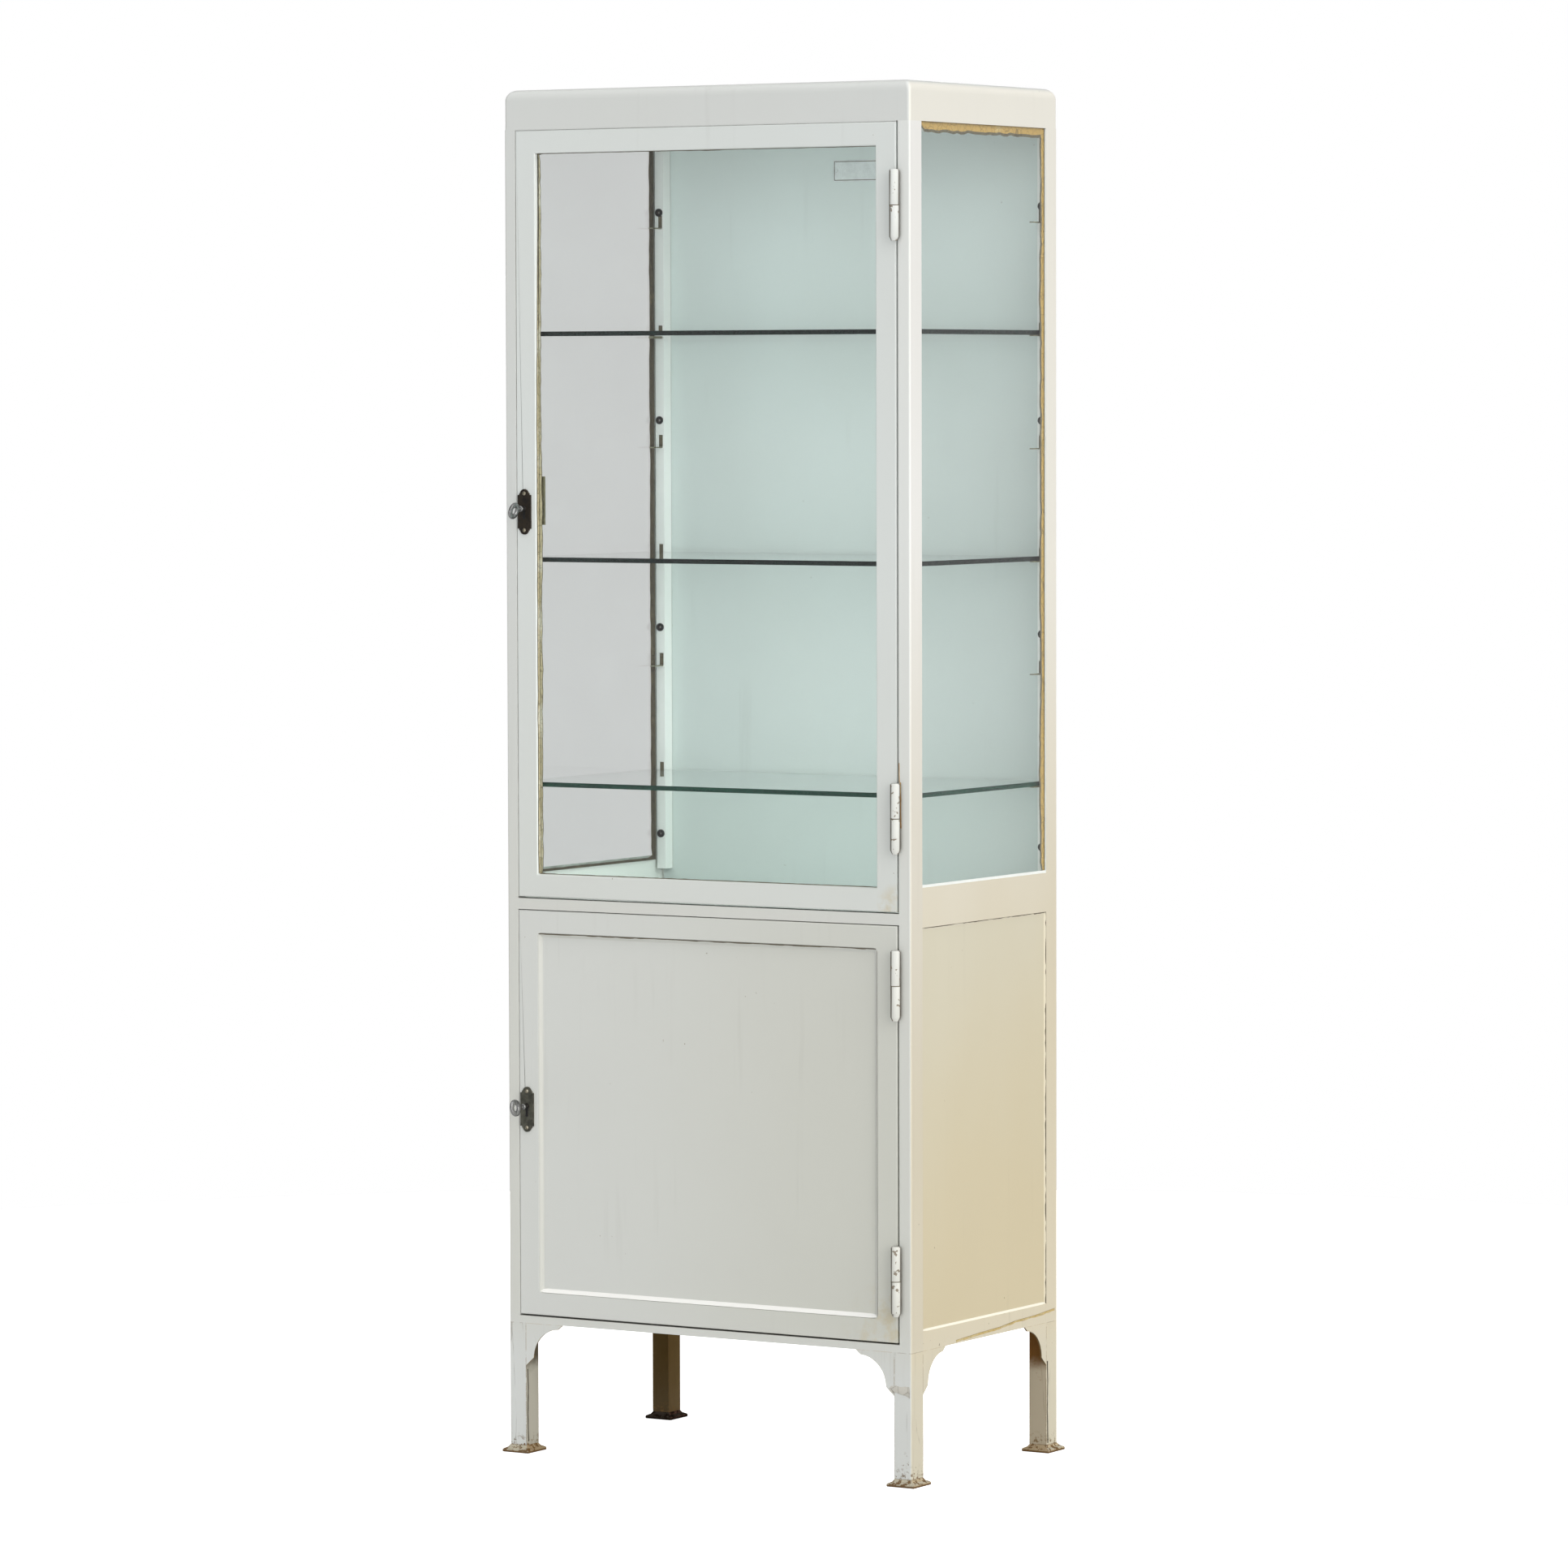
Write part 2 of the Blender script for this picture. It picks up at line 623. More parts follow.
WORN = {
    "wear": 0.6, "wear_reach": 0.0018, "chip_limit": 0.68, "streak_share": 0.3, "crack_share": 0.4,
    "rust_rise": 0.03, "metal": (0.17, 0.1, 0.04)}
SOILED = {
    "wear": 0.8, "wear_reach": 0.002, "chip_limit": 0.6, "streak_share": 0.5, "grime_reach": 0.012,
    "roughness": 0.6, "gloss": 0.0, "soil_share": 0.9}


class Look(Enum):
    """Every finish of the cabinet."""

    PAINT = PaintFinish("enamel_outside")
    CORNER = PaintFinish(
        "enamel_corner_post", front=(0.735, 0.75, 0.725), side=(0.83, 0.825, 0.8),
        side_low=(0.615, 0.56, 0.435))
    PANEL = PaintFinish(
        "enamel_side_panel", side=(0.65, 0.615, 0.49), side_low=(0.595, 0.515, 0.34), age_top=0.85,
        age_bottom=0.2)
    LOW_RAIL = PaintFinish("enamel_low_rail", wear=0.4, chip_limit=0.7, streak_share=0.15)
    INSIDE = PaintFinish(
        "enamel_inside", front=(0.85, 0.875, 0.85), front_low=(0.85, 0.87, 0.84), side_share=0.0, wear=0.15,
        grime_share=0.7)
    RAIL = PaintFinish(
        "enamel_shelf_rails", inside=(0.95, 0.965, 0.95), inside_low=(0.95, 0.965, 0.95),
        front=(0.95, 0.965, 0.95), side_share=0.0, wear=0.15, tongue_share=0.9)
    BACK = PaintFinish(
        "enamel_back", inside=(0.74, 0.82, 0.805), inside_low=(0.66, 0.728, 0.713), age_top=1.62,
        age_bottom=1.25)
    UPPER_DOOR = PaintFinish(
        "enamel_upper_door", front=(0.68, 0.71, 0.69), front_low=(0.65, 0.67, 0.635), side_share=0.0,
        grime_reach=0.0025, grime_share=0.6, stain_sill=0.7175, stain_reach=0.04)
    LOWER_DOOR = PaintFinish(
        "enamel_lower_door", front_low=(0.645, 0.658, 0.628), front_far=(0.592, 0.597, 0.537), side_share=0.0,
        grime_reach=0.0025, grime_share=0.6, stain_sill=0.1795)
    SIDE_LIP = PaintFinish(
        "enamel_side_lips", side_low=(0.67, 0.6, 0.44), inside_share=0.0, wear=0.1, grime_share=0.3,
        ledge=(0.95, 0.91, 0.78), ledge_share=0.95)
    DOOR_LIP = PaintFinish(
        "enamel_door_lips", front_low=(0.6, 0.605, 0.56), side_share=0.0, inside_share=0.0, wear=0.1,
        grime_share=0.3, ledge_share=0.95)
    HINGE = PaintFinish(
        "enamel_hinges", front=(0.7, 0.715, 0.69), front_low=(0.66, 0.66, 0.61), side_share=0.0,
        inside_share=0.0, wear=0.4, grime_reach=0.006, grime_share=0.95, chip_limit=0.62, chip_zone=0.36,
        flank_share=0.85, grime=(0.05, 0.035, 0.015))
    FRONT_LEG = PaintFinish(
        "enamel_front_legs", inside_low=(0.47, 0.445, 0.37), under_share=0.9, gloss=0.1, **WORN)
    REAR_LEFT_LEG = PaintFinish(
        "enamel_shaded_leg", inside_low=(0.076, 0.043, 0.009), inside_side=(0.135, 0.082, 0.026), gloss=0.0,
        **WORN)
    REAR_RIGHT_LEG = PaintFinish(
        "enamel_stained_leg", inside_low=(0.43, 0.365, 0.265), under_share=1.0, under=(0.15, 0.06, 0.009),
        gloss=0.0, **WORN)
    GUSSET = PaintFinish(
        "enamel_gussets", inside_low=(0.09, 0.055, 0.018), metal=(0.4, 0.27, 0.1), wear=0.6, streak_share=0.2,
        crack_share=0.2, gloss=0.3)
    FOOT = PaintFinish(
        "enamel_feet", front_foot=(0.47, 0.43, 0.33), side_foot=(0.49, 0.4, 0.26),
        inside_low=(0.36, 0.27, 0.16), metal=(0.13, 0.066, 0.022), grime=(0.09, 0.05, 0.018), **SOILED)
    SHADED_FOOT = PaintFinish(
        "enamel_shaded_foot", front_foot=(0.02, 0.01, 0.005), side_foot=(0.06, 0.015, 0.006),
        inside_low=(0.02, 0.01, 0.005), inside_side=(0.06, 0.015, 0.006), metal=(0.012, 0.007, 0.004),
        grime=(0.012, 0.007, 0.004), **SOILED)
    DIRT = PuttyFinish(
        "packed_dirt", base=(0.13, 0.11, 0.07), pale=(0.22, 0.19, 0.13), dark=(0.05, 0.04, 0.025),
        pale_limit=0.55)
    GLASS = GlassFinish("sheet_glass")
    SHELF = GlassFinish("shelf_glass", tint=(0.94, 0.985, 0.97))
    GREEN_EDGE = EdgeFinish("shelf_edge_green", base=(0.003, 0.045, 0.027), deep=(0.0015, 0.022, 0.015))
    DARK_EDGE = EdgeFinish("shelf_edge_dark", base=(0.001, 0.009, 0.007), deep=(0.0005, 0.004, 0.003))
    GOLD_PUTTY = PuttyFinish("gold_putty", base=(0.52, 0.335, 0.1), pale=(0.64, 0.5, 0.25), pale_limit=0.58)
    FILLER = PuttyFinish(
        "grey_filler", base=(0.58, 0.56, 0.5), pale=(0.66, 0.66, 0.63), dark=(0.1, 0.062, 0.03))
    OCHRE_LINE = PuttyFinish(
        "ochre_crack", base=(0.33, 0.22, 0.08), pale=(0.44, 0.32, 0.14), dark=(0.14, 0.09, 0.04))
    OCHRE = PuttyFinish("ochre_stain", base=(0.56, 0.42, 0.17), pale=(0.6, 0.5, 0.28), dark=(0.3, 0.2, 0.08))
    RUST = PuttyFinish("hinge_rust", base=(0.36, 0.19, 0.06), pale=(0.55, 0.4, 0.2), dark=(0.1, 0.05, 0.02))
    CREAM_PUTTY = PuttyFinish("cream_putty", base=(0.52, 0.45, 0.28), pale=(0.68, 0.64, 0.5))
    BROWN_PUTTY = PuttyFinish(
        "brown_putty", base=(0.075, 0.058, 0.035), pale=(0.16, 0.125, 0.07), dark=(0.02, 0.016, 0.012),
        pale_limit=0.56)
    BROWN_PLATE = MetalFinish(
        "brown_key_plate", base=(0.036, 0.027, 0.018), dark=(0.018, 0.015, 0.013),
        wear_tone=(0.16, 0.12, 0.07), metallic=0.6, roughness=0.45)
    GREY_PLATE = MetalFinish(
        "grey_key_plate", base=(0.11, 0.11, 0.085), dark=(0.05, 0.05, 0.04), wear_tone=(0.3, 0.29, 0.25),
        metallic=0.6, roughness=0.45)
    STEEL = MetalFinish(
        "nickelled_steel", base=(0.36, 0.36, 0.36), dark=(0.16, 0.16, 0.16), rust_limit=0.74, roughness=0.32)
    BRASS = MetalFinish(
        "worn_brass", base=(0.5, 0.47, 0.38), dark=(0.2, 0.17, 0.11), rust_limit=0.7, roughness=0.36)
    CASE = MetalFinish(
        "olive_lock_case", base=(0.2, 0.18, 0.09), dark=(0.12, 0.105, 0.055), metallic=0.3, roughness=0.5)
    IRON = MetalFinish(
        "black_screw", base=(0.02, 0.02, 0.02), dark=(0.01, 0.01, 0.01), wear_tone=(0.1, 0.1, 0.1),
        metallic=0.5, roughness=0.5)
    TAG = MetalFinish(
        "bare_tag", base=(0.8, 0.85, 0.85), dark=(0.7, 0.75, 0.75), rust_limit=0.9, metallic=0.15,
        roughness=0.42, grain=(900.0, 60.0, 60.0))

    @cached_property
    def material(self) -> Material:
        """Return the finish's material, made when it is first asked for."""
        return self.value.make()


def dress(nodes: Iterable[str], look: Look, bevel: float = 0.0) -> None:
    """Give solids a finish and softened edges.

    Args:
        nodes: names of the solids.
        look: the finish that they show.
        bevel: width of the softened edges in metres, or 0 to leave them.
    """
    for name in nodes:
        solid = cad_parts[name]
        solid.data.materials.clear()
        solid.data.materials.append(look.material)
        if bevel:
            weld = solid.modifiers.new("joined_corners", "WELD")
            weld.merge_threshold = WELD
            soft = solid.modifiers.new("soft_edges", "BEVEL")
            soft.width = bevel
            soft.segments = 2
            soft.limit_method = "ANGLE"
            soft.angle_limit = math.radians(CRISP)
            soft.harden_normals = True
        LOG.info("dressed %s with %s", name, look.value.name)


def piece(name: str, mesh: Mesh, look: Look, body: Body, sharp: float = CRISP,
          more: Sequence[Look] = ()) -> bpy.types.Object:
    """Turn a mesh into a piece that rides on a body.

    Args:
        name: the piece's name.
        mesh: its mesh in the cabinet's frame, freed afterwards.
        look: the finish that it shows.
        body: the body that carries it.
        sharp: edges that turn by more degrees than this stay crisp.
        more: further finishes that its faces name by number.

    Returns:
        The new object.
    """
    data = bpy.data.meshes.new(name)
    bmesh.ops.recalc_face_normals(mesh, faces=mesh.faces)
    for face in mesh.faces:
        face.smooth = True
    for edge in mesh.edges:
        edge.smooth = edge.calc_face_angle(0.0) < math.radians(sharp)
    mesh.to_mesh(data)
    mesh.free()
    for shown in (look, *more):
        data.materials.append(shown.material)
    obj = bpy.data.objects.new(name, data)
    bpy.context.scene.collection.objects.link(obj)
    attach(obj, body.value)
    LOG.info("built %s on %s", name, body.value)
    return obj


def skin(mesh: Mesh, sections: Iterable[Iterable[Vector]], ring: bool = False,
         tones: Sequence[int] = ()) -> None:
    """Skin a row of equal sections.

    Args:
        mesh: the mesh that takes them.
        sections: the corners of each section, in order.
        ring: join the last section to the first, instead of closing both ends.
        tones: number of the finish for each side of a section.
    """
    loops = [[mesh.verts.new(point) for point in section] for section in sections]
    for loop, following in zip(loops, loops[1:] + loops[:1] if ring else loops[1:]):
        for first in range(len(loop)):
            second = (first + 1) % len(loop)
            face = mesh.faces.new((loop[first], loop[second], following[second], following[first]))
            face.material_index = tones[first] if tones else 0
    if not ring:
        mesh.faces.new(loops[0])
        mesh.faces.new(list(reversed(loops[-1])))


def add_box(mesh: Mesh, across: Sequence[float], deep: Sequence[float], tall: Sequence[float]) -> None:
    """Add a plain box.

    Args:
        mesh: the mesh that takes it.
        across: its two ends along x.
        deep: its two ends along y.
        tall: its two ends along z.
    """
    (left, right), (front, back) = across, deep
    plan = ((left, front), (right, front), (right, back), (left, back))
    skin(mesh, [[Vector((x, y, z)) for x, y in plan] for z in tall])


Section = Callable[[Vector], Sequence[tuple[float, float]]]


def surround(mesh: Mesh, corners: Sequence[Vector], out: Vector, section: Section,
             pitch: float, margin: float, tones: Sequence[int] = ()) -> None:
    """Run a closed section round an opening, mitred at its corners.

    Args:
        mesh: the mesh that takes the strip.
        corners: the opening's corners, anticlockwise as seen from where out points.
        out: the direction that the strip rises in.
        section: gives the strip's section at a point, as steps inward and outward.
        pitch: distance between sections.
        margin: distance from a corner to the first section beside it.
        tones: number of the finish for each side of the section.
    """
    rows = []
    for index, here in enumerate(corners):
        there = corners[(index + 1) % len(corners)]
        along = (there - here).normalized()
        inward = out.cross(along)
        before = out.cross((here - corners[index - 1]).normalized())
        rows.append((here, inward + before))
        run = (there - here).length - 2 * margin
        count = max(1, round(run / pitch))
        rows += [(here + along * (margin + run * step / count), inward) for step in range(count + 1)]
    sections = [[base + inward * a + out * b for a, b in section(base)] for base, inward in rows]
    skin(mesh, sections, True, tones)


def spun(mesh: Mesh, profile: Sequence[tuple[float, float]], place: Matrix, segments: int) -> None:
    """Turn a profile round the third axis of a placement.

    Args:
        mesh: the mesh that takes the body.
        profile: distance along the axis and radius, from one end on the axis to the other.
        place: where the axis starts and points.
        segments: number of steps round.
    """
    rings = []
    for height, radius in profile:
        if radius == 0.0:
            rings.append([mesh.verts.new(place @ Vector((0.0, 0.0, height)))] * segments)
            continue
        angles = [2 * math.pi * step / segments for step in range(segments)]
        rings.append([mesh.verts.new(place @ Vector((radius * math.cos(a), radius * math.sin(a), height)))
                      for a in angles])
    for low, high in zip(rings, rings[1:]):
        for first in range(segments):
            second = (first + 1) % segments
            corners = [low[first], low[second], high[second], high[first]]
            mesh.faces.new(list(dict.fromkeys(corners)))


def window_corners(low: Vector, high: Vector, out: Vector) -> list[Vector]:
    """List an upright opening's corners, anticlockwise as seen from where out points.

    Args:
        low: lowest corner of the flat opening.
        high: highest corner of the flat opening.
        out: the direction that it is seen from.

    Returns:
        Its four corners.
    """
    up = Vector((0.0, 0.0, high.z - low.z))
    across = Vector((high.x - low.x, high.y - low.y, 0.0))
    corners = [low, low + across, low + across + up, low + up]
    if across.cross(up).dot(out) < 0.0:
        corners.reverse()
    return corners


def rolled_lip(width: float, depth: float) -> list[tuple[float, float]]:
    """Return the section of a lip that rolls from a frame down to its panel.

    Args:
        width: how far it reaches over the panel.
        depth: how far the panel lies behind the frame.

    Returns:
        Its points, as steps inward and outward from the panel at the frame's edge.
    """
    steps = [0.0, 0.2, 0.4, 0.6, 0.8, 1.0]
    curve = [(width * t, depth * (1.0 - t * t * (3.0 - 2.0 * t)) + 0.03 * MM) for t in steps]
    return curve + [(width, 0.01 * MM), (0.0, 0.01 * MM)]


def dirt_seam(mesh: Mesh, line: Sequence[Vector], out: Vector, middle: Vector, width: float) -> None:
    """Lay an uneven line of dirt, as in a seam or a crack.

    Args:
        mesh: the mesh that takes the dirt.
        line: corners that it runs past, at its highest edge.
        out: the direction that the sheet below it faces.
        middle: a point that the dirt lies towards from that edge.
        width: usual width of the dirt.
    """
    for start, end in zip(line, line[1:]):
        along = (end - start).normalized()
        inward = out.cross(along)
        if inward.dot(middle - start) < 0.0:
            inward = -inward
        count = max(2, round((end - start).length / (7 * MM)))
        sections = []
        for step in range(count + 1):
            base = start.lerp(end, step / count)
            wide = width * (1.0 + 0.35 * noise.noise(base * 120.0) + 0.25 * noise.noise(base * 23.0))
            section = [(0.0, -0.5 * MM), (wide, -0.9 * MM), (0.7 * wide, -0.35 * MM),
                       (0.3 * wide, -0.08 * MM), (0.0, 0.0)]
            sections.append([base + inward * a + out * b for a, b in section])
        skin(mesh, sections)


class Assembly(ABC):
    """Solids that belong together."""

    @abstractmethod
    def dress(self) -> None:
        """Give the solids their materials."""

    @abstractmethod
    def build(self) -> None:
        """Add what the solids leave out."""


@dataclass
class Carcass(Assembly):
    """Posts, rails, sheets, cap, legs and feet."""

    lip_width: float = 3.2 * MM
    lip_depth: float = 1.95 * MM
    panel_face: float = 0.298
    seam_width: float = 1.3 * MM
    screw_rows: tuple[float, ...] = (0.779, 1.052, 1.325, 1.598)
    screw_x: float = 0.288
    screw_face: float = 0.17735
    screw_core: float = 1.4 * MM
    slot_seats: tuple[float, ...] = (0.858, 1.002, 1.146, 1.290, 1.434, 1.578)
    slot_edges: tuple[float, float] = (0.2836, 0.2894)
    slot_depths: tuple[float, float] = (1.5 * MM, 2.0 * MM)
    slot_height: float = 15.6 * MM
    crack_rise: float = 0.32 * MM
    crack_sway: float = 1.2 * MM
    crack_width: float = 3.6 * MM
    rebate_recess: float = 0.25 * MM
    rebate_depth: float = 6.0 * MM
    gap_fill: float = 0.9
    top_fill: float = 0.98

    def dress(self) -> None:
        """Give every fixed sheet its coat."""
        dress(["top_cap", "front_mid_rail", "front_bottom_rail", "rear_bottom_rail", "post_front_left",
               "post_rear_left", "post_rear_right", "side_mid_rail_left", "side_mid_rail_right"], Look.PAINT)
        dress(["post_front_right"], Look.CORNER)
        dress(["side_bottom_rail_left", "side_bottom_rail_right"], Look.LOW_RAIL)
        dress(["side_panel_left", "side_panel_right"], Look.PANEL)
        dress(["back_panel"], Look.BACK)
        dress(["face_gussets", "side_gussets"], Look.GUSSET)
        dress(["leg_front_left", "leg_front_right"], Look.FRONT_LEG)
        dress(["leg_rear_left"], Look.REAR_LEFT_LEG)
        dress(["leg_rear_right"], Look.REAR_RIGHT_LEG)
        dress(["foot_front_left", "foot_front_right", "foot_rear_right"], Look.FOOT, 1.1 * MM)
        dress(["foot_rear_left"], Look.SHADED_FOOT, 1.1 * MM)
        dress(["middle_deck", "bottom_floor", "front_shelf_brackets"], Look.INSIDE, 0.3 * MM)
        dress(["shelf_rail_left", "shelf_rail_right"], Look.RAIL)
        dress(["shelf_rail_screws"], Look.IRON, 0.3 * MM)
        dress(["name_plate", "name_plate_rivets"], Look.TAG, 0.2 * MM)

    def build(self) -> None:
        """Add what the solids leave out."""
        for side, sign in (("left", -1.0), ("right", 1.0)):
            self.panel_lips(side, sign)
        self.screw_centres()
        self.slot_shadows()
        self.plate_border()
        self.leg_filler()
        self.rail_crack()
        self.leg_cracks()
        self.gap_strips()

    def panel_lips(self, side: str, sign: float) -> None:
        """Lay the pressed lips round a side's recessed panel and under its window.

        Args:
            side: name of the side.
            sign: which way it faces along x.
        """
        near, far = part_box(f"post_front_{side}")[1][1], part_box(f"post_rear_{side}")[0][1]
        low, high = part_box(f"side_bottom_rail_{side}")[1][2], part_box(f"side_mid_rail_{side}")[0][2]
        face = sign * self.panel_face
        out = sign * RIGHT
        mesh = bmesh.new()
        curve = rolled_lip(self.lip_width, self.lip_depth)
        surround(mesh, window_corners(Vector((face, near, low)), Vector((face, far, high)), out),
                 out, lambda base: curve, pitch=0.08, margin=10 * MM)
        piece(f"side_panel_lips_{side}", mesh, Look.SIDE_LIP, Body.CARCASS)
        mesh = bmesh.new()
        seam = self.lip_depth + 0.05 * MM
        corners = [Vector((face + sign * seam, y, z)) for y, z in ((near, high), (far, high), (far, low))]
        dirt_seam(mesh, corners, out, Vector((0.0, (near + far) / 2, (low + high) / 2)), self.seam_width)
        piece(f"side_panel_seam_{side}", mesh, Look.DIRT, Body.CARCASS)
        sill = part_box(f"side_mid_rail_{side}")[1][2]
        mesh = bmesh.new()
        skin(mesh, [[Vector((face + sign * b, y, sill + a)) for a, b in curve] for y in (near, far)])
        piece(f"side_window_sill_{side}", mesh, Look.INSIDE, Body.CARCASS)

    def screw_centres(self) -> None:
        """Set a worn bright core in each black screw of the shelf rails."""
        mesh = bmesh.new()
        core = self.screw_core
        profile = [(0.0, 0.0), (0.0, core), (0.3 * MM, core), (0.55 * MM, 0.75 * core), (0.65 * MM, 0.0)]
        for sign in (-1.0, 1.0):
            for level in self.screw_rows:
                spot = Matrix.Translation((sign * self.screw_x, self.screw_face + 0.6 * MM, level))
                spun(mesh, profile, spot @ Matrix.Rotation(math.radians(90), 4, "X"), 14)
        piece("rail_screw_cores", mesh, Look.STEEL, Body.CARCASS)

    def slot_shadows(self) -> None:
        """Darken the hollow behind each slot of the shelf rails."""
        deep = [self.screw_face + step for step in self.slot_depths]
        mesh = bmesh.new()
        for sign in (-1.0, 1.0):
            across = [sign * x for x in self.slot_edges]
            for seat in self.slot_seats:
                add_box(mesh, across, deep, (seat + 0.2 * MM, seat + self.slot_height))
        piece("rail_slot_shadows", mesh, Look.DIRT, Body.CARCASS)

    def plate_border(self) -> None:
        """Stamp a plain dark line round the bare plate on the back."""
        low, high = (Vector(c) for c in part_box("name_plate"))
        inset = Vector((1.5 * MM, 0.0, 1.5 * MM))
        high.y = low.y
        out = -BACK
        section = [(0.0, 0.0), (0.0, 0.12 * MM), (0.45 * MM, 0.2 * MM), (0.9 * MM, 0.12 * MM), (0.9 * MM, 0.0)]
        mesh = bmesh.new()
        surround(mesh, window_corners(low + inset, high - inset, out), out, lambda base: section, pitch=0.05,
                 margin=4 * MM)
        piece("name_plate_border", mesh, Look.DIRT, Body.CARCASS)

    def leg_filler(self) -> None:
        """Spread the rough repair across the near front leg, below its gusset."""
        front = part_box("leg_front_right")[0][1]
        outline = [
            (297.6, 125.4), (291.0, 126.2), (284.0, 125.2), (277.0, 126.4), (270.0, 125.6), (267.6, 122.0),
            (268.4, 118.4), (272.0, 116.6), (278.0, 117.6), (285.0, 115.4), (291.0, 114.8), (297.6, 111.6)]
        mesh = bmesh.new()
        middle = Vector((283.0, 0.0, 120.0))
        sections = []
        for shrink, rise in ((1.0, -0.1), (1.0, 0.08), (0.86, 0.3)):
            spots = [middle + (Vector((x, 0.0, z)) - middle) * shrink for x, z in outline]
            sections.append([Vector((s.x * MM, front - rise * MM, s.z * MM)) for s in spots])
        skin(mesh, sections)
        piece("front_leg_filler", mesh, Look.FILLER, Body.CARCASS, 70.0)

    def rail_crack(self) -> None:
        """Run the stained crack along the right side's bottom rail to the rear corner."""
        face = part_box("side_bottom_rail_right")[1][0]
        run = ((-0.06, 0.1722), (0.0, 0.1748), (0.05, 0.1762), (0.09, 0.1795), (0.14, 0.1808), (0.192, 0.1842))
        below = Vector((face, 0.0, -1.0))
        for name, rise, width, look in (("side_rail_stain", 0.3 * MM, 4.8 * MM, Look.OCHRE),
                                        ("side_rail_crack", 0.42 * MM, 0.8 * MM, Look.OCHRE_LINE)):
            mesh = bmesh.new()
            dirt_seam(mesh, [Vector((face + rise, y, z)) for y, z in run], RIGHT, below, width)
            piece(name, mesh, look, Body.CARCASS)

    def leg_cracks(self) -> None:
        """Split the coat down the near edge of one rear leg and inside one front leg."""
        rear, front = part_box("leg_rear_right"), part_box("leg_front_left")
        mesh = bmesh.new()
        for x, y, heights in ((rear[1][0], rear[0][1] + 1.4 * MM, (0.118, 0.092, 0.055, 0.012)),
                              (front[1][0], front[0][1] + 2.6 * MM, (0.108, 0.085, 0.05, 0.014))):
            line = [Vector((x + self.crack_rise, y + step % 2 * self.crack_sway, z))
                    for step, z in enumerate(heights)]
            dirt_seam(mesh, line, RIGHT, Vector((x, 1.0, 0.06)), self.crack_width)
        piece("leg_cracks", mesh, Look.BROWN_PUTTY, Body.CARCASS)

    def gap_strips(self) -> None:
        """Set the frame's rebate behind the gaps beside both doors and above the upper one."""
        door, lower, post = (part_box(n) for n in ("upper_door_frame", "lower_door_frame", "post_front_left"))
        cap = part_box("top_cap")[0][2]
        deep = (door[0][1] + self.rebate_recess, door[0][1] + self.rebate_depth)
        beside = (post[1][0], post[1][0] + self.gap_fill * (door[0][0] - post[1][0]))
        above = (cap - self.top_fill * (cap - door[1][2]), cap)
        mesh = bmesh.new()
        for across, tall in ((beside, (door[0][2], above[0])), ((beside[0], door[1][0]), above),
                             (beside, (lower[0][2], lower[1][2]))):
            add_box(mesh, across, deep, tall)
        piece("door_rebate", mesh, Look.PAINT, Body.CARCASS)


@dataclass(frozen=True)
class Reach:
    """Usual width of a bead of putty over the glass along each edge, in millimetres."""

    top: float
    bottom: float
    near: float
    far: float

    def along(self, point: Vector, low: Vector, high: Vector) -> float:
        """Return the width at a point of the bead's outer line, in metres.

        Args:
            point: the point.
            low: lowest corner of the line.
            high: highest corner of the line.

        Returns:
            The width, the mean of two edges' at a corner.
        """
        across = (point.x - low.x) + (point.y - low.y)
        span = (high.x - low.x) + (high.y - low.y)
        gaps = ((self.bottom, point.z - low.z), (self.top, high.z - point.z),
                (self.near, across), (self.far, span - across))
        widths = [width for width, gap in gaps if gap < 0.1 * MM]
        return MM * sum(widths) / len(widths)


